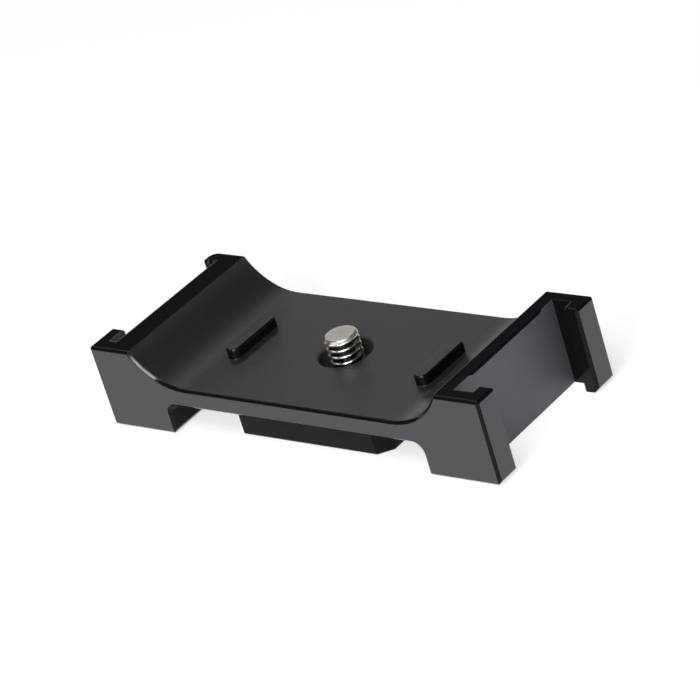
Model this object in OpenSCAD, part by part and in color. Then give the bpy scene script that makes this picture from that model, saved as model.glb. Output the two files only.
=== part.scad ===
// Camera cradle plate: one machined aluminium base with a captive camera screw.
// It stands on its two feet, with the length along X, the front face at -Y and up along +Z.
// The origin is at the middle of the footprint, on the surface it stands on.

/* [Body] */
// Overall length along X
body_l = 89.5; // [84:0.5:120]
// Overall width along Y
body_w = 35; // [33:0.5:50]
// Overall height at the two raised ends
body_h = 16.7; // [15:0.1:20]
// Height of the deck that the camera stands on
deck_top = 10.1; // [9:0.1:12]
// Thickness of the deck between the feet
deck_t = 3.85; // [3:0.05:4.6]
// Length of each foot along X
foot_l = 15.5; // [13.5:0.1:18]
// Radius of the fillet between a foot and the underside of the deck
foot_fillet_r = 2; // [1:0.1:3]
// Chamfer along the long bottom edges of the feet, at both ends of each foot
foot_chamfer = 0.9; // [0.3:0.1:1.5]
// Chamfer on all the other outer edges
edge_chamfer = 0.5; // [0.2:0.05:0.8]

/* [Cradle] */
// Radius of the curve that rises from the deck to each end
curve_r = 12.9; // [10:0.1:16]
// Length of the flat top of each end, from the end face to the curve
end_top_l = 9.65; // [9:0.05:12]

/* [End channels] */
// Thickness of the front and rear walls of the channels
wall_t = 2.8; // [2:0.1:4]
// Thickness of the lips that turn in across the mouth of a channel
lip_t = 2.8; // [2:0.1:2.8]
// Depth of the right channel, from the end face to the web
right_depth = 6.9; // [5:0.1:7.5]
// Depth of the left channel, from the end face to the web
left_depth = 4.75; // [4:0.05:7]
// Reach of both right lips, from the outside of the wall
right_lip_l = 5.15; // [4:0.05:8]
// Reach of the front left lip, from the outside of the wall
left_front_lip_l = 7.05; // [4:0.05:9]
// Reach of the rear left lip, from the outside of the wall
left_rear_lip_l = 3.4; // [3.2:0.05:6]
// How far the rear left post stops short of the end face
post_setback = 1.5; // [0.5:0.05:1.6]
// Radius of the outer corner of the rear left post
post_corner_r = 2.2; // [1.2:0.1:3]
// Length of the chamfer milled along the top edge of the right web
web_chamfer_l = 19.4; // [10:0.2:22]
// Radius of the cutter that milled it, seen at the ends of the chamfer
web_cutter_r = 1.5; // [1:0.1:2]

/* [Boss] */
// Length of the clamping boss along X
boss_l = 35.6; // [28:0.1:40]
// Width of the clamping boss along Y
boss_w = 29; // [22:0.1:32]
// Chamfer across the four corners of the boss
boss_corner = 2.5; // [1:0.1:4]
// Chamfer round the bottom edge of the boss
boss_chamfer = 0.4; // [0.2:0.1:1]

/* [Ribs] */
// Distance of the left rib from the middle, along X
left_rib_x = 21.4; // [12:0.1:21.8]
// Distance of the right rib from the middle, along X
right_rib_x = 22.1; // [12:0.1:22.2]
// Width of a rib
rib_w = 3; // [2:0.1:4]
// Length of a rib along Y, over its round ends
rib_l = 12.8; // [8:0.1:24]
// Height of a rib above the deck
rib_h = 2; // [0.8:0.1:2.5]
// Chamfer round the top edge of a rib
rib_chamfer = 0.3; // [0.1:0.05:0.5]

/* [Camera screw] */
// Distance of the screw behind the middle of the deck
screw_y = 0.7; // [0:0.1:1]
// Outside diameter of the screw's thread
screw_d = 6.35; // [5:0.05:6.6]
// Height of the screw above the deck
screw_rise = 3.8; // [3:0.1:5.5]
// Chamfer at the tip of the screw
screw_tip = 0.7; // [0.3:0.1:1]
// Diameter of the screw's head, under the deck
head_d = 12.6; // [10:0.1:15]
// Height of the screw's head
head_h = 3; // [2.6:0.1:3.2]
// Size of the hexagon socket, across the flats
socket_af = 5; // [3:0.5:6]
// Depth of the hexagon socket
socket_depth = 2; // [1:0.1:2.2]

/* [Screw seat] */
// Depth of the pocket under the boss that takes the head
head_pocket_depth = 3.9; // [3.7:0.1:4.4]
// Gap between the head and the wall of its pocket
head_gap = 0.4; // [0.2:0.1:1]
// Diameter of the recess round the screw in the deck
recess_d = 10.2; // [9:0.1:12]
// Depth of the recess round the screw
recess_depth = 3.4; // [2.4:0.1:4]
// Chamfer at the rim of the recess
recess_chamfer = 0.3; // [0.1:0.05:0.5]
// Gap between the screw and its hole
screw_gap = 0.2; // [0.1:0.05:0.4]
// End play of the screw, shared between the head and the ring
end_play = 0.3; // [0.2:0.05:0.5]

/* [Retaining ring] */
// Thickness of the ring that keeps the screw in the plate
ring_t = 0.8; // [0.5:0.05:1]
// Width of the ring's band
ring_band = 1.3; // [1:0.05:1.6]
// Depth of the groove in the screw
groove_depth = 0.5; // [0.3:0.05:0.8]
// Clearance of the ring in its groove, all round
ring_gap = 0.05; // [0.02:0.01:0.1]
// Width of the slit in the ring
ring_slit = 2.4; // [1:0.1:4]

/* [Hidden] */
$fn = 96;
// Overshoot of a cutting shape past the face that it opens
e = 0.1;
half_l = body_l / 2;
half_w = body_w / 2;
underside = deck_top - deck_t;
foot_in = half_l - foot_l;
// Middle of each curve: it leaves the deck at a tangent and reaches the top at end_top_l
curve_rise = body_h - deck_top;
curve_x = half_l - end_top_l - sqrt(curve_r * curve_r - pow(curve_r - curve_rise, 2));
curve_z = deck_top + curve_r;
screw_r = screw_d / 2;
hole_r = screw_r + screw_gap;
recess_floor = deck_top - recess_depth;
head_top = head_pocket_depth - end_play / 2;
head_bottom = head_top - head_h;
screw_top = deck_top + screw_rise;
groove_r = screw_r - groove_depth;
ring_bottom = recess_floor + end_play / 2;
ring_in_r = groove_r + ring_gap;
ring_out_r = ring_in_r + ring_band;

// Extrudes an XZ outline along Y, centred on the XZ plane
module along_y(depth) {
    rotate([90, 0, 0]) linear_extrude(depth, center = true) children();
}

// Cuts a 45 degree chamfer along X on the edge at (y, z); sy and sz point out of the solid
module bevel_x(x0, x1, y, z, sy, sz, size) {
    translate([x0, y, z]) rotate([90, 0, 90]) linear_extrude(x1 - x0)
        polygon([[sy * e, sz * e], [-sy * (size + e), sz * e], [sy * e, -sz * (size + e)]]);
}

// Cuts a 45 degree chamfer along Y on the edge at (x, z); sx and sz point out of the solid
module bevel_y(y0, y1, x, z, sx, sz, size) {
    translate([x, y1, z]) rotate([90, 0, 0]) linear_extrude(y1 - y0)
        polygon([[sx * e, sz * e], [-sx * (size + e), sz * e], [sx * e, -sz * (size + e)]]);
}

// Cuts a 45 degree chamfer along Z on the edge at (x, y); sx and sy point out of the solid
module bevel_z(z0, z1, x, y, sx, sy, size) {
    translate([x, y, z0]) linear_extrude(z1 - z0)
        polygon([[sx * e, sy * e], [-sx * (size + e), sy * e], [sx * e, -sy * (size + e)]]);
}

// Cuts a 45 degree flare where a round surface of radius r meets the face at side * half_w
module flare_y(side, x, z, r, size) {
    translate([x, side * (half_w - size - e), z]) rotate([-90 * side, 0, 0])
        cylinder(h = size + 2 * e, r1 = r - e, r2 = r + size + e);
}

// The space that the camera sits in, seen from the front: flat floor and two rising curves
module cradle_outline() {
    for (side = [-1, 1]) translate([side * curve_x, curve_z]) circle(curve_r, $fn = 180);
    translate([-curve_x, deck_top]) square([2 * curve_x, 2 * curve_r]);
}

// The space under the deck between the feet, seen from the front, with filleted top corners
module underside_outline() {
    fillet_x = foot_in - foot_fillet_r;
    translate([-fillet_x, -e]) square([2 * fillet_x, underside + e]);
    translate([-foot_in, -e]) square([2 * foot_in, underside - foot_fillet_r + e]);
    for (side = [-1, 1]) translate([side * fillet_x, underside - foot_fillet_r])
        circle(foot_fillet_r);
}

// The plate's side view as a plain bar, before the edges are chamfered
module plate_bar() {
    along_y(body_w) difference() {
        translate([-half_l, 0]) square([body_l, body_h]);
        cradle_outline();
        underside_outline();
    }
}

// Chamfers along the front face (side = -1) or the rear face (side = 1)
module face_edges(side) {
    y = side * half_w;
    fillet_x = foot_in - foot_fillet_r;
    bevel_x(-half_l - e, half_l + e, y, body_h, side, 1, edge_chamfer);
    bevel_x(-half_l - e, half_l + e, y, 0, side, -1, edge_chamfer);
    bevel_x(-curve_x, curve_x, y, deck_top, side, 1, edge_chamfer);
    bevel_x(-fillet_x, fillet_x, y, underside, side, -1, edge_chamfer);
    for (end = [-1, 1]) {
        flare_y(side, end * curve_x, curve_z, curve_r, edge_chamfer);
        flare_y(side, end * fillet_x, underside - foot_fillet_r, foot_fillet_r, edge_chamfer);
        bevel_z(-e, underside - foot_fillet_r, end * foot_in, y, -end, side, edge_chamfer);
    }
}

// Chamfers along Y at the outer top edges and the bottom edges of the feet
module end_edges(end) {
    reach = half_w + e;
    bevel_y(-reach, reach, end * half_l, body_h, end, 1, edge_chamfer);
    bevel_y(-reach, reach, end * half_l, 0, end, -1, foot_chamfer);
    bevel_y(-reach, reach, end * foot_in, 0, -end, -1, foot_chamfer);
}

// A channel that runs up the end face, open at the top, at the bottom and between its lips
module end_channel(end, depth, front_lip, rear_lip) {
    web_x = half_l - depth;
    tip_front = -half_w + front_lip;
    tip_rear = half_w - rear_lip;
    mirror([end < 0 ? 1 : 0, 0, 0]) {
        translate([web_x, wall_t - half_w, -e])
            cube([depth - lip_t, body_w - 2 * wall_t, body_h + 2 * e]);
        translate([web_x, tip_front, -e])
            cube([depth + e, tip_rear - tip_front, body_h + 2 * e]);
        bevel_z(-e, body_h + e, half_l, tip_front, 1, 1, edge_chamfer);
        bevel_z(-e, body_h + e, half_l, tip_rear, 1, -1, edge_chamfer);
        bevel_x(half_l - lip_t - e, half_l + e, tip_front, body_h, 1, 1, edge_chamfer);
        bevel_x(half_l - lip_t - e, half_l + e, tip_rear, body_h, -1, 1, edge_chamfer);
        if (end > 0) web_chamfer(web_x);
    }
}

// The chamfer on the right web's top edge, with the round run-outs that its cutter leaves
module web_chamfer(web_x) {
    run = web_chamfer_l / 2;
    bevel_y(screw_y - run, screw_y + run, web_x, body_h, 1, 1, edge_chamfer);
    for (tip = [-run, run])
        translate([web_x + web_cutter_r, screw_y + tip, body_h - edge_chamfer - e])
            cylinder(h = edge_chamfer + 2 * e, r1 = web_cutter_r - e,
                     r2 = web_cutter_r + edge_chamfer + e);
}

// Trims the rear left post: it stops short of the end face and its outer corner is round
module post_trim() {
    face_x = post_setback - half_l;
    tip_y = half_w - left_rear_lip_l;
    difference() {
        translate([-half_l - e, tip_y - e, -e])
            cube([post_setback + post_corner_r + e, left_rear_lip_l + 2 * e, body_h + 2 * e]);
        post_face(face_x, tip_y - 2 * e, half_w - post_corner_r);
        translate([face_x + post_corner_r, half_w - post_corner_r, 0]) post_corner();
    }
    bevel_z(-e, body_h + e, face_x, tip_y, -1, -1, edge_chamfer);
}

// The flat outer face of the rear left post, chamfered at the top and the bottom
module post_face(x, y0, y1) {
    in_x = x + post_corner_r + 2 * e;
    c = edge_chamfer;
    translate([0, (y0 + y1) / 2, 0]) along_y(y1 - y0)
        polygon([[in_x, -2 * e], [x + c + 2 * e, -2 * e], [x, c], [x, body_h - c],
                 [x + c + 2 * e, body_h + 2 * e], [in_x, body_h + 2 * e]]);
}

// The round corner of the rear left post, chamfered at the top and the bottom
module post_corner() {
    c = edge_chamfer;
    r = post_corner_r;
    translate([0, 0, -2 * e]) cylinder(h = c + 2 * e, r1 = r - c - 2 * e, r2 = r);
    translate([0, 0, c]) cylinder(h = body_h - 2 * c, r = r);
    translate([0, 0, body_h - c]) cylinder(h = c + 2 * e, r1 = r, r2 = r - c - 2 * e);
}

// The boss under the deck, with chamfered corners and a chamfered bottom edge
module boss() {
    lx = boss_l / 2;
    ly = boss_w / 2;
    diagonal = (lx + ly - boss_corner) / sqrt(2);
    intersection() {
        linear_extrude(underside + e) square([boss_l, boss_w], center = true);
        along_y(boss_w + 2 * e) boss_side(lx);
        rotate([0, 0, 90]) along_y(boss_l + 2 * e) boss_side(ly);
        rotate([0, 0, 45]) along_y(boss_l + boss_w) boss_side(diagonal);
        rotate([0, 0, -45]) along_y(boss_l + boss_w) boss_side(diagonal);
    }
}

// Half width reach of the boss, seen along its face, with the bottom edge chamfered
module boss_side(reach) {
    polygon([[-reach, underside + 2 * e], [-reach, boss_chamfer], [boss_chamfer - reach, 0],
             [reach - boss_chamfer, 0], [reach, boss_chamfer], [reach, underside + 2 * e]]);
}

// A raised rib with round ends and a chamfered top edge
module rib() {
    r = rib_w / 2;
    run = rib_l / 2 - r;
    straight = rib_h - rib_chamfer;
    along_y(2 * run) polygon([[-r, -e], [r, -e], [r, straight], [r - rib_chamfer, rib_h],
                              [rib_chamfer - r, rib_h], [-r, straight]]);
    for (tip = [-run, run]) translate([0, tip, -e]) {
        cylinder(h = straight + e, r = r);
        translate([0, 0, straight + e]) cylinder(h = rib_chamfer, r1 = r, r2 = r - rib_chamfer);
    }
}

// The stepped hole for the screw: recess in the deck, clear hole, pocket for the head
module screw_seat() {
    pocket_r = head_d / 2 + head_gap;
    translate([0, 0, -e]) cylinder(h = deck_top + 2 * e, r = hole_r);
    translate([0, 0, recess_floor]) cylinder(h = recess_depth + e, r = recess_d / 2);
    translate([0, 0, deck_top - recess_chamfer])
        cylinder(h = recess_chamfer + e, r1 = recess_d / 2, r2 = recess_d / 2 + recess_chamfer + e);
    translate([0, 0, -e]) cylinder(h = head_pocket_depth + e, r = pocket_r);
    translate([0, 0, -e]) cylinder(h = edge_chamfer + e, r1 = pocket_r + edge_chamfer + e, r2 = pocket_r);
}

module base_plate() {
    color("#26272a") difference() {
        union() {
            difference() {
                plate_bar();
                for (side = [-1, 1]) face_edges(side);
                for (end = [-1, 1]) {
                    end_edges(end);
                    bevel_z(-e, body_h + e, end * half_l, -half_w, end, -1, edge_chamfer);
                }
                bevel_z(-e, body_h + e, half_l, half_w, 1, 1, edge_chamfer);
                end_channel(1, right_depth, right_lip_l, right_lip_l);
                end_channel(-1, left_depth, left_front_lip_l, left_rear_lip_l);
                post_trim();
            }
            boss();
            for (x = [-left_rib_x, right_rib_x]) translate([x, 0, deck_top]) rib();
        }
        translate([0, screw_y, 0]) screw_seat();
    }
}

module camera_screw() {
    color("#b8b5ad") translate([0, screw_y, 0]) difference() {
        union() {
            translate([0, 0, head_bottom]) cylinder(h = head_h, r = head_d / 2);
            translate([0, 0, head_top - e])
                cylinder(h = screw_top - screw_tip - head_top + e, r = screw_r);
            translate([0, 0, screw_top - screw_tip])
                cylinder(h = screw_tip, r1 = screw_r, r2 = screw_r - screw_tip);
        }
        translate([0, 0, head_bottom - e])
            cylinder(h = socket_depth + e, r = socket_af / sqrt(3), $fn = 6);
        translate([0, 0, ring_bottom - ring_gap]) difference() {
            cylinder(h = ring_t + 2 * ring_gap, r = screw_r + 1);
            translate([0, 0, -e]) cylinder(h = ring_t + 2 * ring_gap + 2 * e, r = groove_r);
        }
    }
}

module retaining_ring() {
    color("#1c1c1e") translate([0, screw_y, ring_bottom]) difference() {
        cylinder(h = ring_t, r = ring_out_r);
        translate([0, 0, -e]) cylinder(h = ring_t + 2 * e, r = ring_in_r);
        translate([0, -ring_slit / 2, -e]) cube([ring_out_r + e, ring_slit, ring_t + 2 * e]);
    }
}

base_plate();
camera_screw();
retaining_ring();
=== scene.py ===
"""Looks for the camera cradle plate: satin and bright-cut black aluminium with a bright camera screw.

Everything is in metres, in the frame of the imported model: the length along X, the front at -Y,
up along +Z.
"""

import math

import bpy
import numpy as np
from mathutils import Matrix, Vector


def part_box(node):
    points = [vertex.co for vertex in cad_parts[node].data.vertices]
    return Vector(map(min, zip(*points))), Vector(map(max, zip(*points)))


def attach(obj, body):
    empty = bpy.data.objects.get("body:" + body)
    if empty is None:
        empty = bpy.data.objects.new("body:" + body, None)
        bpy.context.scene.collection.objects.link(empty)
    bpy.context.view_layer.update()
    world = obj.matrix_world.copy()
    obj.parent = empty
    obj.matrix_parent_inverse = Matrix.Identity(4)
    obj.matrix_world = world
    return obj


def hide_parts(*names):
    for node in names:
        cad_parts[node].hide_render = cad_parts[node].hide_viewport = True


bl_info = {
    "name": "Camera Cradle Plate",
    "version": (1, 0, 0),
    "blender": (4, 5, 0),
    "location": "View3D > Sidebar > Cradle Plate",
    "description": "Finishes the camera cradle plate and its screw, and sets a plain stage round them",
    "category": "Object",
}

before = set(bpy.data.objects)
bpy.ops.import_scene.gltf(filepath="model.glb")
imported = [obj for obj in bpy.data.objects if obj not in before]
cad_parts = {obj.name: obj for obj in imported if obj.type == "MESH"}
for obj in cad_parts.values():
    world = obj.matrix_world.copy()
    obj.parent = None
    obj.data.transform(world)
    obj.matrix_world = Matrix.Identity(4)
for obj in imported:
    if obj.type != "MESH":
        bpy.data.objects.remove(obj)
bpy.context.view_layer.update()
MM = 0.001

PLATE_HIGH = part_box("base_plate")[1]
SCREW_LOW, SCREW_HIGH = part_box("camera_screw")
RING_LOW, RING_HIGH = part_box("retaining_ring")
SCREW_AXIS_Y = (SCREW_LOW.y + SCREW_HIGH.y) / 2
SCREW_SHANK_R = 6.35 / 2 * MM


# Settings


class PlateFinishSettings(bpy.types.PropertyGroup):
    """How the black anodised plate looks"""

    satin_colour: bpy.props.FloatVectorProperty(
        name="Satin Colour",
        description="Colour of the bead-blasted, anodised faces",
        subtype="COLOR",
        size=3,
        min=0,
        max=1,
        default=(0.0060, 0.0061, 0.0070),
    )
    satin_roughness: bpy.props.FloatProperty(
        name="Satin Roughness",
        description="How widely the blasted faces spread the light",
        subtype="FACTOR",
        min=0,
        max=1,
        default=0.40,
    )
    grain: bpy.props.FloatProperty(
        name="Blasting Grain",
        description="Width of one dimple that the glass beads leave",
        unit="LENGTH",
        min=0.00002,
        max=0.001,
        precision=5,
        default=0.00011,
    )
    cut_colour: bpy.props.FloatVectorProperty(
        name="Cut Colour",
        description="Colour of the faces and chamfers that are cut after blasting",
        subtype="COLOR",
        size=3,
        min=0,
        max=1,
        default=(0.0026, 0.0029, 0.0037),
    )
    cut_roughness: bpy.props.FloatProperty(
        name="Cut Roughness",
        description="Roughness of the cut faces and chamfers",
        subtype="FACTOR",
        min=0,
        max=1,
        default=0.13,
    )
    milled_roughness: bpy.props.FloatProperty(
        name="Milled Roughness",
        description="Roughness of the faces under the deck, which keep the cutter's marks",
        subtype="FACTOR",
        min=0,
        max=1,
        default=0.24,
    )
    mill_step: bpy.props.FloatProperty(
        name="Mill Step",
        description="Distance between two of the cutter's marks",
        unit="LENGTH",
        min=0.00005,
        max=0.001,
        precision=5,
        default=0.00022,
    )


class ScrewSettings(bpy.types.PropertyGroup):
    """Thread and metal of the camera screw, and the colour of its ring"""

    pitch: bpy.props.FloatProperty(
        name="Thread Pitch",
        description="Rise of the thread in one turn, 20 turns to the inch",
        unit="LENGTH",
        min=0.0005,
        max=0.003,
        precision=5,
        default=0.00127,
    )
    thread_depth: bpy.props.FloatProperty(
        name="Thread Depth",
        description="Depth of the thread from its crest to its root",
        unit="LENGTH",
        min=0.0002,
        max=0.001,
        precision=5,
        default=0.00066,
    )
    metal_colour: bpy.props.FloatVectorProperty(
        name="Metal Colour",
        description="Colour of the bright nickel on the crests and the tip",
        subtype="COLOR",
        size=3,
        min=0,
        max=1,
        default=(0.80, 0.76, 0.71),
    )
    # Painted shade: the thread's roots get this dark colour in place of their shade
    root_shade_colour: bpy.props.FloatVectorProperty(
        name="Root Colour",
        description="Colour of the duller metal at the bottom of the thread",
        subtype="COLOR",
        size=3,
        min=0,
        max=1,
        default=(0.05, 0.046, 0.042),
    )
    ring_colour: bpy.props.FloatVectorProperty(
        name="Ring Colour",
        description="Colour of the oiled black retaining ring",
        subtype="COLOR",
        size=3,
        min=0,
        max=1,
        default=(0.020, 0.020, 0.022),
    )


class StageSettings(bpy.types.PropertyGroup):
    """The floor and wall, the room and the camera"""

    floor_colour: bpy.props.FloatVectorProperty(
        name="Floor Colour",
        description="Colour of the pale floor and of the low wall round it",
        subtype="COLOR",
        size=3,
        min=0,
        max=1,
        default=(0.92, 0.92, 0.92),
    )
    world_level: bpy.props.FloatProperty(
        name="Room Level",
        description="Brightness of the room round the stage",
        min=0,
        max=2,
        default=0.04,
    )
    lens: bpy.props.FloatProperty(
        name="Lens",
        description="Focal length on a 36 mm wide sensor",
        unit="CAMERA",
        min=20,
        max=400,
        default=181.95,
    )


# Mesh helpers


def closed_surface(name, rows):
    """A closed mesh from a grid of points rows[station, angle].

    Neighbouring stations are joined by quads all the way round, and the first and the last station
    are each closed onto their own mean point by a fan of triangles.
    """
    stations, columns, _ = rows.shape
    poles = np.stack([rows[0].mean(0), rows[-1].mean(0)])
    points = np.concatenate([rows.reshape(-1, 3), poles])
    here = np.arange(columns)
    after = (here + 1) % columns
    base = (np.arange(stations - 1) * columns)[:, None]
    quads = np.stack([base + here, base + after, base + columns + after, base + columns + here], -1)
    quads = quads.reshape(-1, 4)
    first, last = stations * columns, stations * columns + 1
    top = (stations - 1) * columns
    start_fan = np.stack([np.full(columns, first), after, here], -1)
    end_fan = np.stack([np.full(columns, last), top + here, top + after], -1)
    mesh = bpy.data.meshes.new(name)
    mesh.vertices.add(len(points))
    mesh.vertices.foreach_set("co", points.astype(np.float32).ravel())
    corners = np.concatenate([quads.ravel(), start_fan.ravel(), end_fan.ravel()])
    starts = np.concatenate([np.arange(len(quads)) * 4, len(quads) * 4 + np.arange(2 * columns) * 3])
    mesh.loops.add(len(corners))
    mesh.loops.foreach_set("vertex_index", corners.astype(np.int32))
    mesh.polygons.add(len(starts))
    mesh.polygons.foreach_set("loop_start", starts.astype(np.int32))
    mesh.update(calc_edges=True)
    mesh.validate()
    return mesh


def add_object(name, data):
    """A new object with the given data, at the origin, in the scene"""
    made = bpy.data.objects.new(name, data)
    bpy.context.scene.collection.objects.link(made)
    return made


def placed(right, up, back, place):
    """The matrix of an object at place whose own axes are right, up and back"""
    matrix = Matrix((right, up, back)).transposed().to_4x4()
    matrix.translation = place
    return matrix


# Material helpers


class Recipe:
    """A node material: each call adds one node and returns its output"""

    def __init__(self, name):
        self.material = bpy.data.materials.new(name)
        self.material.use_nodes = True
        self.tree = self.material.node_tree
        self.shader = self.tree.nodes["Principled BSDF"]
        self.place = self.tree.nodes.new("ShaderNodeTexCoord").outputs["Object"]

    def add(self, kind, inputs=(), **settings):
        """One node of a kind, with its settings made and its inputs linked or filled in"""
        node = self.tree.nodes.new(kind)
        for key, value in settings.items():
            setattr(node, key, value)
        for key, value in dict(inputs).items():
            if isinstance(value, bpy.types.NodeSocket):
                self.tree.links.new(value, node.inputs[key])
            else:
                node.inputs[key].default_value = value
        return node

    def mapped(self, location=(0, 0, 0), scale=(1, 1, 1)):
        """The place on the piece, scaled and then moved"""
        inputs = {"Vector": self.place, "Location": location, "Scale": scale}
        return self.add("ShaderNodeMapping", inputs).outputs["Vector"]

    def noise(self, size, detail=2.0, roughness=0.5, place=None):
        """Noise whose features are about size metres wide, from 0 to 1"""
        inputs = {
            "Vector": place or self.place,
            "Scale": 1 / size,
            "Detail": detail,
            "Roughness": roughness,
        }
        return self.add("ShaderNodeTexNoise", inputs).outputs["Fac"]

    def ranged(self, value, low, high, to_low, to_high):
        """value carried from low..high to to_low..to_high, held at the ends"""
        inputs = {
            "Value": value,
            "From Min": low,
            "From Max": high,
            "To Min": to_low,
            "To Max": to_high,
        }
        return self.add("ShaderNodeMapRange", inputs, clamp=True).outputs["Result"]

    def combined(self, operation, first, second):
        """first and second combined by one operation of the Math node"""
        inputs = {0: first, 1: second}
        return self.add("ShaderNodeMath", inputs, operation=operation).outputs["Value"]

    def between(self, factor, first, second):
        """A colour between first and second"""
        node = self.add("ShaderNodeMix", {"Factor": factor}, data_type="RGBA")
        for socket, colour in (("A", first), ("B", second)):
            target = next(i for i in node.inputs if i.name == socket and i.type == "RGBA")
            target.default_value = (*colour, 1)
        return next(o for o in node.outputs if o.type == "RGBA")

    def clouded(self, factor, colour, spread):
        """colour, made darker and lighter by the share spread as factor goes from 0 to 1"""
        return self.between(factor, scaled(colour, 1 - spread), scaled(colour, 1 + spread))

    def soft_edges(self, radius):
        """The surface normal, turned smoothly over a width of radius at each edge"""
        return self.add("ShaderNodeBevel", {"Radius": radius}, samples=6).outputs["Normal"]

    def bump(self, height, depth, strength, normal=None):
        """The surface normal with the height pressed in, depth metres deep"""
        inputs = {"Height": height, "Distance": depth, "Strength": strength}
        if normal:
            inputs["Normal"] = normal
        return self.add("ShaderNodeBump", inputs).outputs["Normal"]

    def set(self, **values):
        """Sets the shader's own sockets, by name with underscores for spaces"""
        for key, value in values.items():
            socket = self.shader.inputs[key.replace("_", " ")]
            if isinstance(value, bpy.types.NodeSocket):
                self.tree.links.new(value, socket)
            else:
                socket.default_value = value
        return self.material


def scaled(colour, factor):
    """colour times factor, held at 1"""
    return tuple(min(1.0, part * factor) for part in colour)


# Finishes

# A noise is mostly between these two values
NOISE_LOW, NOISE_HIGH = 0.3, 0.7
# Width over which the light turns round a sharp edge, and round one cut with the bright tool
EDGE_BREAK = 0.25 * MM
CUT_EDGE_BREAK = 0.35 * MM
# The anodised film's sheen is faintly blue, and strongest on the blasted faces
SHEEN_TINT = (0.90, 0.925, 1.0, 1.0)
SATIN_IOR = 1.71
CUT_IOR = 1.235
# The milled faces under the deck reflect weakly, partly as painted shade
MILLED_IOR = 1.18
# Depth of a blasted dimple as a share of its width, and how strongly it shows
DIMPLE_SHARE = 0.10
DIMPLE_STRENGTH = 0.55
CLOUD_SPREAD = 0.07


def blasted_normal(make, settings):
    """The normal of a bead-blasted face: fine dimples, with soft edges"""
    grain = make.noise(settings.grain, 2, 0.6)
    edges = make.soft_edges(EDGE_BREAK)
    return make.bump(grain, settings.grain * DIMPLE_SHARE, DIMPLE_STRENGTH, edges)


def satin_anodised(settings):
    """Bead-blasted and black anodised: fine dimples, a faint cloudiness and an even satin sheen"""
    make = Recipe("satin black anodised")
    cloud = make.noise(9 * MM, 3, 0.55)
    speck = make.noise(settings.grain * 3.2, 1, 0.5)
    tone = make.ranged(cloud, NOISE_LOW, NOISE_HIGH, 0, 1)
    spread = 0.035
    smooth, blunt = settings.satin_roughness - spread, settings.satin_roughness + spread
    return make.set(
        Base_Color=make.clouded(tone, settings.satin_colour, CLOUD_SPREAD),
        Roughness=make.ranged(speck, 0.25, 0.75, smooth, blunt),
        Normal=blasted_normal(make, settings),
        Metallic=0.0,
        IOR=SATIN_IOR,
        Specular_Tint=SHEEN_TINT,
    )


def shade_lifted_anodised(settings, name, painted_light_lift, roughness, ior):
    """Blasted more bluntly than the deck, with less of its sheen, and its colour painted lighter by a
    factor as painted light in a shaded hollow
    """
    make = Recipe(name)
    cloud = make.noise(4 * MM, 3, 0.55)
    return make.set(
        Base_Color=make.clouded(cloud, scaled(settings.satin_colour, painted_light_lift), CLOUD_SPREAD),
        Roughness=roughness,
        Normal=blasted_normal(make, settings),
        Metallic=0.0,
        IOR=ior,
        Specular_Tint=SHEEN_TINT,
    )


def cut_anodised(settings):
    """Cut with a bright tool after blasting, then anodised: near black, glossy, faint tool chatter"""
    make = Recipe("bright-cut black anodised")
    drift = make.noise(4 * MM, 2, 0.5)
    chatter = make.noise(0.6 * MM, 3, 0.6)
    smooth, blunt = settings.cut_roughness - 0.012, settings.cut_roughness + 0.016
    ripple_depth = 0.02 * MM
    return make.set(
        Base_Color=make.clouded(drift, settings.cut_colour, 0.2),
        Roughness=make.ranged(chatter, NOISE_LOW, NOISE_HIGH, smooth, blunt),
        Normal=make.bump(drift, ripple_depth, 0.5, make.soft_edges(CUT_EDGE_BREAK)),
        Metallic=0.0,
        IOR=CUT_IOR,
    )


def milled_anodised_painted_dark(settings):
    """Milled and not blasted, then anodised, with the cutter's fine parallel marks along X; its dark
    colour and weak sheen are partly painted shade for the faces under the deck
    """
    make = Recipe("milled anodised painted dark")
    along_x = make.mapped(scale=(0.04, 1, 1))
    marks = make.noise(settings.mill_step, 2, 0.5, along_x)
    drift = make.noise(5 * MM, 2, 0.5)
    spread = 0.05
    smooth, blunt = settings.milled_roughness - spread, settings.milled_roughness + spread
    groove_depth = settings.mill_step * 0.04
    return make.set(
        Base_Color=make.between(drift, settings.cut_colour, scaled(settings.cut_colour, 1.8)),
        Roughness=make.ranged(marks, NOISE_LOW, NOISE_HIGH, smooth, blunt),
        Normal=make.bump(marks, groove_depth, 0.5, make.soft_edges(EDGE_BREAK)),
        Metallic=0.0,
        IOR=MILLED_IOR,
    )


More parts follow.
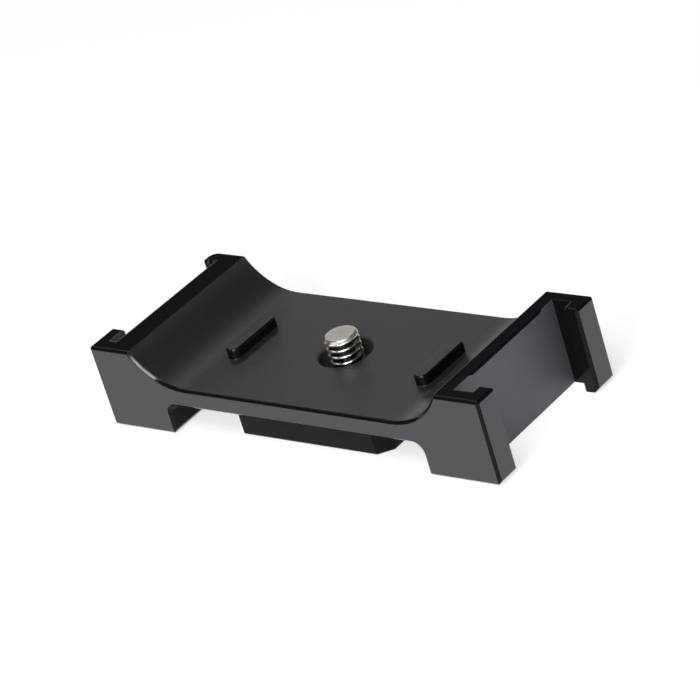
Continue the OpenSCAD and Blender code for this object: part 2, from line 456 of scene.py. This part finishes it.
def bright_nickel(settings):
    """Turned steel with thin nickel: bright on the crests and the tip, with painted shade down in the
    thread's roots
    """
    make = Recipe("bright nickel steel")
    from_axis = make.mapped(location=(0, -SCREW_AXIS_Y, 0), scale=(1, 1, 0))
    radius = make.add("ShaderNodeVectorMath", {0: from_axis}, operation="LENGTH").outputs["Value"]
    height = make.add("ShaderNodeSeparateXYZ", {"Vector": make.place}).outputs["Z"]
    # The thread is painted dark towards its roots as their shade; the crests and the tip keep the
    # bright metal
    root_shade_r, bright_r = SCREW_SHANK_R - settings.thread_depth * 0.75, SCREW_SHANK_R - 0.1 * MM
    crest = make.ranged(radius, root_shade_r, bright_r, 0, 1)
    tip = make.ranged(height, SCREW_HIGH.z - 0.8 * MM, SCREW_HIGH.z - 0.4 * MM, 0, 1)
    scuff = make.noise(0.3 * MM, 4, 0.62, make.mapped(scale=(1, 1, 5)))
    pore = make.noise(0.22 * MM, 3, 0.62)
    worn = make.ranged(scuff, NOISE_LOW, 0.75, 1.0, 0.8)
    bright = make.combined("MULTIPLY", make.combined("MAXIMUM", crest, tip), worn)
    shiny = make.ranged(scuff, NOISE_LOW, NOISE_HIGH, 0.15, 0.27)
    matt = make.ranged(pore, NOISE_LOW, NOISE_HIGH, 0.24, 0.48)
    rough = make.add("ShaderNodeMix", {"Factor": tip, "A": shiny, "B": matt}, data_type="FLOAT")
    scuffed = make.bump(scuff, 0.025 * MM, 0.6)
    return make.set(
        Base_Color=make.between(bright, settings.root_shade_colour, settings.metal_colour),
        Roughness=rough.outputs["Result"],
        Normal=make.bump(pore, 0.010 * MM, 0.5, scuffed),
        Metallic=1.0,
    )


def oiled_black(settings):
    """Spring steel with black oxide: dark, a little oily, with a fine rolled grain"""
    make = Recipe("oiled black spring steel")
    grain = make.noise(0.2 * MM, 3, 0.6)
    wear = make.ranged(make.noise(1.1 * MM, 2, 0.5), 0.35, 0.7, 0, 1)
    return make.set(
        Base_Color=make.between(wear, settings.ring_colour, scaled(settings.ring_colour, 2.2)),
        Roughness=make.ranged(grain, NOISE_LOW, NOISE_HIGH, 0.28, 0.42),
        Normal=make.bump(grain, 0.008 * MM, 0.5),
        Metallic=0.85,
    )


# The plate

# Where the plate's own features are, in metres, as in the model's source
DECK_TOP = 10.1 * MM
CURVE_R = 12.9 * MM
CURVE_Z = DECK_TOP + CURVE_R
CURVE_X = PLATE_HIGH.x - 9.65 * MM - math.sqrt(CURVE_R**2 - (CURVE_Z - PLATE_HIGH.z) ** 2)
FOOT_IN = PLATE_HIGH.x - 15.5 * MM
FILLET_R = 2.0 * MM
UNDERSIDE = DECK_TOP - 3.85 * MM
CHANNEL_WALL_Y = PLATE_HIGH.y - 2.8 * MM
RIB_MIDDLES = (-21.4 * MM, 22.1 * MM)
RIB_REACH = (1.55 * MM, 6.5 * MM)
RIB_TOP = DECK_TOP + 2.0 * MM
WEB_X = PLATE_HIGH.x - 6.9 * MM
LIP_THINNEST = 1.0 * MM
BOSS_SIDE_Y = 14.5 * MM
ROUND_POST = (-41.0 * MM, 15.0 * MM)
RECESS_R = 5.5 * MM
RECESS_FLOOR = DECK_TOP - 3.45 * MM

# How near two places count as one, and how exactly a face looks along an axis or square to it
TOUCHING = 0.01 * MM
NEAR = 0.05 * MM
STRAIGHT = 0.999
SQUARE = 0.01

# The plate's material slots
SATIN, CUT, MILLED, RECESS, CHANNEL = range(5)


def face_facts(mesh):
    """Each face's outward direction and middle, as two arrays"""
    count = len(mesh.polygons)
    facing = np.empty(count * 3)
    middle = np.empty(count * 3)
    mesh.polygons.foreach_get("normal", facing)
    mesh.polygons.foreach_get("center", middle)
    return facing.reshape(-1, 3), middle.reshape(-1, 3)


def on_round(x, z, centre_x, centre_z, radius):
    """True for each place at radius from a line along Y, at either end of the plate"""
    return np.abs(np.hypot(np.abs(x) - centre_x, z - centre_z) - radius) < NEAR


def bright_cut_faces(facing, middle):
    """True for each face that was cut after blasting.

    Blasted faces look straight along an axis, or belong to the two rising curves (a fixed distance
    from the curve's own line along Y), to the fillets under the deck or to the round corner of the
    left rear post. What is left is chamfers. The tops of the end walls and the sides of the ribs are
    cut too, and so are the side walls of the channels and the tips of their lips, whose near-black
    finish there is also painted shade deep in the channels.
    """
    x, y, z = middle.T
    straight = np.abs(facing).max(1) > STRAIGHT
    along_y = np.abs(facing[:, 1]) < SQUARE
    curve = along_y & on_round(x, z, CURVE_X, CURVE_Z, CURVE_R)
    fillet = along_y & on_round(x, z, FOOT_IN - FILLET_R, UNDERSIDE - FILLET_R, FILLET_R)
    post = (np.abs(facing[:, 2]) < SQUARE) & (x < ROUND_POST[0]) & (y > ROUND_POST[1])
    blasted = straight | curve | fillet | post
    wall_top = z > PLATE_HIGH.z - 0.02 * MM
    sideways = np.abs(facing[:, 2]) < 0.7
    from_rib = np.min([np.abs(x - middle_x) for middle_x in RIB_MIDDLES], axis=0)
    near_rib = (from_rib < RIB_REACH[0]) & (np.abs(y) < RIB_REACH[1])
    rib_side = near_rib & sideways & (z > DECK_TOP) & (z < RIB_TOP)
    # The channels' side walls and the lips' tips are made near black, partly as painted shade
    return ~blasted | wall_top | rib_side | channel_sides_painted_shade(facing, middle)


# These faces take the dark milled finish, which is partly painted shade under the deck
def milled_faces_with_painted_shade(facing, middle):
    """True for what is between and under the feet: the deck's underside, the boss, the feet's soles"""
    x, y, z = middle.T
    between_feet = (np.abs(x) < FOOT_IN + TOUCHING) & (z < UNDERSIDE + TOUCHING)
    past_boss = np.abs(y) > BOSS_SIDE_Y + 0.5 * MM
    outward = past_boss & (np.abs(facing[:, 1]) > 0.5)
    sole = facing[:, 2] < -STRAIGHT
    return (between_feet & ~outward) | sole


# The recess is painted lighter than the deck, as painted light in its shade
def recess_faces(middle):
    """True for the wall, the rim and the floor of the recess round the screw"""
    x, y, z = middle.T
    in_round = np.hypot(x, y - SCREW_AXIS_Y) < RECESS_R
    return in_round & (z > RECESS_FLOOR) & (z < DECK_TOP - TOUCHING)


# These faces are painted lighter than the deck, as painted light where the channel shades them
def channel_faces(facing, middle):
    """True for the webs at the bottom of the channels and the lips' sides that face them"""
    x = np.abs(middle[:, 0])
    inside = (x > WEB_X - 0.1 * MM) & (x < PLATE_HIGH.x - LIP_THINNEST)
    return inside & (np.abs(facing[:, 0]) > STRAIGHT)


def channel_sides_painted_shade(facing, middle):
    """True for the side walls of the channels and the tips of the lips, which face along Y. Their
    near-black cut finish is also painted shade deep in the channels
    """
    x, y, _ = np.abs(middle.T)
    in_channel = x > WEB_X + NEAR
    return in_channel & (np.abs(facing[:, 1]) > 0.9) & (y < CHANNEL_WALL_Y + 0.1 * MM)


class CRADLE_OT_finish_plate(bpy.types.Operator):
    """Gives the plate its satin faces, bright-cut edges, a milled underside partly painted dark as
    shade, and hollows painted lighter against their shade
    """

    bl_idname = "cradle.finish_plate"
    bl_label = "Finish Plate"

    def execute(self, context):
        settings = context.scene.cradle_plate
        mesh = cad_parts["base_plate"].data
        mesh.materials.clear()
        for material in (
            satin_anodised(settings),
            cut_anodised(settings),
            milled_anodised_painted_dark(settings),
            # The recess is painted lighter, as painted light in its shade
            shade_lifted_anodised(settings, "recess anodised painted lighter", painted_light_lift=4.8, roughness=0.58, ior=1.5),
            # The channels' webs are painted lighter, as painted light in the channels' shade
            shade_lifted_anodised(settings, "channel anodised painted lighter", painted_light_lift=9.6, roughness=0.46, ior=1.43),
        ):
            mesh.materials.append(material)
        facts = face_facts(mesh)
        finish = np.full(len(mesh.polygons), SATIN, dtype=np.int32)
        finish[bright_cut_faces(*facts)] = CUT
        finish[milled_faces_with_painted_shade(*facts)] = MILLED
        finish[recess_faces(facts[1])] = RECESS
        finish[channel_faces(*facts)] = CHANNEL
        mesh.polygons.foreach_set("material_index", finish)
        mesh.update()
        return {"FINISHED"}


# The screw and its ring

HEAD_R = (SCREW_HIGH.x - SCREW_LOW.x) / 2
HEAD_TOP = SCREW_LOW.z + 3.0 * MM
HEAD_BEVEL = 0.35 * MM
EASED_EDGE = 0.15 * MM
SOCKET_FLAT = 2.5 * MM
SOCKET_DEPTH = 2.0 * MM
SOCKET_CHAMFER = 0.08 * MM
DRILL_POINT = 0.5 * MM
GROOVE_R = SCREW_SHANK_R - 0.5 * MM
GROOVE_LOW = RING_LOW.z - 0.05 * MM
GROOVE_HIGH = RING_HIGH.z + 0.05 * MM
LEAD_IN_R = GROOVE_R + 0.05 * MM
LEAD_IN_SLOPE = 0.9
TIP_CHAMFER = 0.7 * MM
TIP_DROP = 0.02 * MM
THREAD_TOP_DROP = 0.06 * MM
TURN_STEPS = 144
THREAD_STATIONS = 92
# Shares of the thread's wave that its root and its flank take up, and how far the flank is eased
THREAD_ROOT = 0.22
THREAD_FLANK = 0.64
THREAD_EASE = 0.35


def hexagon_reach(angle, flat):
    """Distance from the middle to a hexagon's side: flat / cos of the angle from that side's middle"""
    side = np.mod(angle, math.pi / 3) - math.pi / 6
    return flat / np.cos(side)


def thread_radius(angle, z, settings):
    """Radius of a right-hand 60 degree thread.

    The phase is z / pitch less angle / a full turn. Over one phase the radius goes up a straight
    flank, along a narrow crest, down the other flank and along the root: root + depth * a clipped
    triangle wave, of which a share is eased by 3 t^2 - 2 t^3.
    """
    phase = np.mod(z / settings.pitch - angle / (2 * math.pi), 1)
    wave = 1 - np.abs(phase - 0.5) * 2
    rise = np.clip((wave - THREAD_ROOT) / THREAD_FLANK, 0, 1)
    rise = rise * rise * (3 - 2 * rise) * THREAD_EASE + rise * (1 - THREAD_EASE)
    return SCREW_SHANK_R - settings.thread_depth * (1 - rise)


def threaded_stations(angle, settings):
    """Stations up the thread: its radius, held inside a cone at the groove and a round at the tip"""
    z = np.linspace(GROOVE_HIGH, SCREW_HIGH.z - THREAD_TOP_DROP, THREAD_STATIONS)[:, None]
    radius = thread_radius(angle[None, :], z, settings)
    lead_in = LEAD_IN_R + (z - GROOVE_HIGH) * LEAD_IN_SLOPE
    share = np.clip((SCREW_HIGH.z - z) / TIP_CHAMFER, 0, 1)
    lead_out = SCREW_SHANK_R - TIP_CHAMFER + np.sqrt(1 - (1 - share) ** 2) * TIP_CHAMFER
    radius = np.minimum(radius, np.minimum(lead_in, lead_out))
    return radius, np.broadcast_to(z, radius.shape)


def screw_surface(settings):
    """The whole screw as one surface of angle and station.

    Each station has a radius and a height. From the floor of the socket they go down its six-sided
    wall to the head's face, round the head, up the shank, round the groove, up the thread and in
    across the tip.
    """
    angle = np.arange(TURN_STEPS) * 2 * math.pi / TURN_STEPS
    hexagon = hexagon_reach(angle, SOCKET_FLAT)
    low, floor = SCREW_LOW.z, SCREW_LOW.z + SOCKET_DEPTH
    stations = []

    def add(radius, z):
        stations.append((np.broadcast_to(radius, angle.shape), np.full(angle.shape, z)))

    for share in (0.04, 0.3, 0.6, 0.9, 1.0):
        add(hexagon * share, floor + (1 - share) * DRILL_POINT)
    for z in np.linspace(floor, low + 0.2 * MM, 8)[1:]:
        add(hexagon, z)
    mouth = SOCKET_FLAT / math.cos(math.pi / 6) + SOCKET_CHAMFER
    for radius in np.linspace(mouth, HEAD_R - HEAD_BEVEL, 7):
        add(radius, low)
    for turn in np.linspace(0, math.pi / 2, 6)[1:]:
        add(HEAD_R - HEAD_BEVEL * (1 - math.sin(turn)), low + HEAD_BEVEL * (1 - math.cos(turn)))
    for z in np.linspace(low + HEAD_BEVEL, HEAD_TOP - EASED_EDGE, 6)[1:]:
        add(HEAD_R, z)
    add(HEAD_R - EASED_EDGE, HEAD_TOP)
    add(SCREW_SHANK_R + EASED_EDGE, HEAD_TOP)
    add(SCREW_SHANK_R, HEAD_TOP + EASED_EDGE)
    add(SCREW_SHANK_R, GROOVE_LOW)
    add(GROOVE_R, GROOVE_LOW)
    add(GROOVE_R, GROOVE_HIGH)
    thread_r, thread_z = threaded_stations(angle, settings)
    stations += list(zip(thread_r, thread_z))
    tip = thread_r[-1]
    add(tip * 0.93, SCREW_HIGH.z - TIP_DROP)
    for share in (0.8, 0.5, 0.2, 0.05):
        add(tip * share, SCREW_HIGH.z)
    radius = np.stack([station[0] for station in stations])
    z = np.stack([station[1] for station in stations])
    return np.stack([radius * np.cos(angle), radius * np.sin(angle) + SCREW_AXIS_Y, z], -1)


class CRADLE_OT_make_screw(bpy.types.Operator):
    """Makes the threaded camera screw with its head and hexagon socket"""

    bl_idname = "cradle.make_screw"
    bl_label = "Make Camera Screw"

    def execute(self, context):
        settings = context.scene.cradle_screw
        mesh = closed_surface("threaded_camera_screw", screw_surface(settings))
        mesh.shade_smooth()
        mesh.set_sharp_from_angle(angle=math.radians(38))
        mesh.materials.append(bright_nickel(settings))
        screw = add_object("threaded_camera_screw", mesh)
        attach(screw, "screw")
        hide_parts("camera_screw")
        return {"FINISHED"}


class CRADLE_OT_finish_ring(bpy.types.Operator):
    """Gives the retaining ring its oiled black finish"""

    bl_idname = "cradle.finish_ring"
    bl_label = "Finish Retaining Ring"

    def execute(self, context):
        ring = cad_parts["retaining_ring"].data
        ring.materials.clear()
        ring.materials.append(oiled_black(context.scene.cradle_screw))
        return {"FINISHED"}


# The stage

# The camera's place and its own axes, at the photograph's viewing angle
CAMERA_PLACE = (0.400027, -0.387056, 0.294643)
CAMERA_RIGHT = (0.7626, 0.5898, -0.2657)
CAMERA_UP = (-0.1033, 0.5165, 0.8501)
CAMERA_BACK = (0.6386, -0.6208, 0.4548)
SENSOR_WIDTH = 36
# What the lamps face
AIM = (0.0, 0.0, 0.008)
FLOOR_HALF = 3.0
FLOOR_GAP = 0.02 * MM
WALL_R = 2.9
WALL_HEIGHT = 0.46
WALL_PARTS = 72
# The share of the floor and of the wall that shows as plain white
FLOOR_WHITE = 0.7
WALL_WHITE = 0.95

# Sizes in metres, power in watts, roll about the lamp's own axis in degrees
LAMPS = {
    "front_key_strip": dict(place=(0.20, -0.765, 0.54), width=0.08, height=0.62, power=6.6, roll=51),
    "overhead_softbox": dict(place=(0.15, -0.45, 0.90), width=0.5, height=0.5, power=7.9),
    "corner_softbox": dict(place=(0.50, -0.52, 0.69), width=0.2, height=0.2, power=2.8),
    "left_high_card": dict(place=(-0.63, -0.09, 0.77), width=0.3, height=0.3, power=0.9),
    "left_back_card": dict(place=(-0.82, 0.76, 0.27), width=1.2, height=0.22, power=0.58),
    "right_back_card": dict(place=(0.98, 0.50, 0.13), width=1.2, height=0.22, power=0.95),
    "right_front_card": dict(place=(1.09, -0.14, 0.14), width=0.6, height=0.22, power=1.6),
    "back_fill_softbox": dict(place=(-0.54, 0.54, 0.65), width=0.6, height=0.2, power=0.52),
}


def add_lamp(name, place, width, height, power, roll=0):
    """A rectangular soft lamp that faces the part, rolled about its own axis"""
    light = bpy.data.lights.new(name, "AREA")
    light.shape, light.size, light.size_y, light.energy = "RECTANGLE", width, height, power
    back = np.array(place) - np.array(AIM)
    back /= np.linalg.norm(back)
    right = np.cross((0, 0, 1), back)
    right /= np.linalg.norm(right)
    up = np.cross(back, right)
    turn = math.radians(roll)
    rolled_right = right * math.cos(turn) + up * math.sin(turn)
    rolled_up = up * math.cos(turn) - right * math.sin(turn)
    add_object(name, light).matrix_world = placed(rolled_right, rolled_up, back, place)


def add_camera(lens):
    """The camera, at the photograph's viewing angle"""
    data = bpy.data.cameras.new("photo_camera")
    data.sensor_width, data.lens = SENSOR_WIDTH, lens
    data.clip_start, data.clip_end = 0.01, 20
    camera = add_object("photo_camera", data)
    camera.matrix_world = placed(CAMERA_RIGHT, CAMERA_UP, CAMERA_BACK, CAMERA_PLACE)
    bpy.context.scene.camera = camera


def pale_paint(name, colour, white):
    """Pale matt paint.

    Seen straight or in a reflection, the share white of it is plain white. The rest keeps its
    shadows.
    """
    make = Recipe(name)
    tone = make.noise(0.4, 2, 0.5)
    make.set(Base_Color=make.clouded(tone, colour, 0.01), Roughness=0.9, Specular_IOR_Level=0.1)
    path = make.add("ShaderNodeLightPath").outputs
    seen = path["Is Camera Ray"]
    for ray in ("Is Glossy Ray", "Is Transmission Ray"):
        seen = make.combined("MAXIMUM", seen, path[ray])
    share = make.combined("MULTIPLY", seen, white)
    plain = make.add("ShaderNodeEmission", {"Color": (1, 1, 1, 1), "Strength": 1.0}).outputs["Emission"]
    mixed = make.add("ShaderNodeMixShader", {0: share, 1: make.shader.outputs["BSDF"], 2: plain})
    surface = make.tree.nodes["Material Output"].inputs["Surface"]
    make.tree.links.new(mixed.outputs["Shader"], surface)
    return make.material


def add_stage_piece(name, points, quads, material):
    """A plain surface of the stage, which isn't part of the object"""
    mesh = bpy.data.meshes.new(name)
    mesh.from_pydata(points.tolist(), [], quads.tolist())
    mesh.materials.append(material)
    add_object(name, mesh)


def add_floor(colour):
    """A wide flat floor just under the part: one square, FLOOR_HALF to each side"""
    sides = np.array([(-1, -1), (1, -1), (1, 1), (-1, 1)]) * FLOOR_HALF
    points = np.column_stack([sides, np.full(4, -FLOOR_GAP)])
    paint = pale_paint("pale floor", colour, FLOOR_WHITE)
    add_stage_piece("floor", points, np.array([(0, 1, 2, 3)]), paint)


def add_wall(colour):
    """A low pale wall far round the part, which is the background of a view from the side.

    A ring of points at WALL_R, turned by equal steps, is joined to the same ring WALL_HEIGHT up.
    """
    turn = np.arange(WALL_PARTS) * 2 * math.pi / WALL_PARTS
    ring = np.stack([WALL_R * np.cos(turn), WALL_R * np.sin(turn), np.zeros_like(turn)], -1)
    points = np.concatenate([ring, ring + (0, 0, WALL_HEIGHT)])
    here = np.arange(WALL_PARTS)
    after = (here + 1) % WALL_PARTS
    quads = np.stack([here, here + WALL_PARTS, after + WALL_PARTS, after], -1)
    add_stage_piece("wall", points, quads, pale_paint("pale wall", colour, WALL_WHITE))


def set_world(level):
    """A plain white room, as bright as level"""
    world = bpy.data.worlds.new("studio")
    bpy.context.scene.world = world
    world.use_nodes = True
    background = world.node_tree.nodes["Background"]
    background.inputs["Color"].default_value = (1, 1, 1, 1)
    background.inputs["Strength"].default_value = level


class CRADLE_OT_set_stage(bpy.types.Operator):
    """Sets the pale floor and wall, the soft lamps, the room and the camera"""

    bl_idname = "cradle.set_stage"
    bl_label = "Set Stage"

    def execute(self, context):
        settings = context.scene.cradle_stage
        add_floor(settings.floor_colour)
        add_wall(settings.floor_colour)
        for name, lamp in LAMPS.items():
            add_lamp(name, **lamp)
        set_world(settings.world_level)
        add_camera(settings.lens)
        context.scene.view_settings.view_transform = "Standard"
        return {"FINISHED"}


# Panel and running


class CRADLE_PT_panel(bpy.types.Panel):
    """Lists the steps that finish the cradle plate"""

    bl_idname = "CRADLE_PT_panel"
    bl_label = "Cradle Plate"
    bl_space_type = "VIEW_3D"
    bl_region_type = "UI"
    bl_category = "Cradle Plate"

    def draw(self, context):
        for group, operators in (
            (context.scene.cradle_plate, (CRADLE_OT_finish_plate,)),
            (context.scene.cradle_screw, (CRADLE_OT_make_screw, CRADLE_OT_finish_ring)),
            (context.scene.cradle_stage, (CRADLE_OT_set_stage,)),
        ):
            box = self.layout.box()
            for name in group.bl_rna.properties.keys():
                if name not in ("rna_type", "name"):
                    box.prop(group, name)
            for operator in operators:
                box.operator(operator.bl_idname)


SETTINGS = {
    "cradle_plate": PlateFinishSettings,
    "cradle_screw": ScrewSettings,
    "cradle_stage": StageSettings,
}
CLASSES = (
    *SETTINGS.values(),
    CRADLE_OT_finish_plate,
    CRADLE_OT_make_screw,
    CRADLE_OT_finish_ring,
    CRADLE_OT_set_stage,
    CRADLE_PT_panel,
)


def register():
    for made in CLASSES:
        bpy.utils.register_class(made)
    for name, group in SETTINGS.items():
        setattr(bpy.types.Scene, name, bpy.props.PointerProperty(type=group))


def unregister():
    for name in SETTINGS:
        delattr(bpy.types.Scene, name)
    for made in reversed(CLASSES):
        bpy.utils.unregister_class(made)


def main():
    """Registers the add-on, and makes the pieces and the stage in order"""
    register()
    bpy.ops.cradle.finish_plate()
    bpy.ops.cradle.make_screw()
    bpy.ops.cradle.finish_ring()
    bpy.ops.cradle.set_stage()


if __name__ == "__main__":
    main()
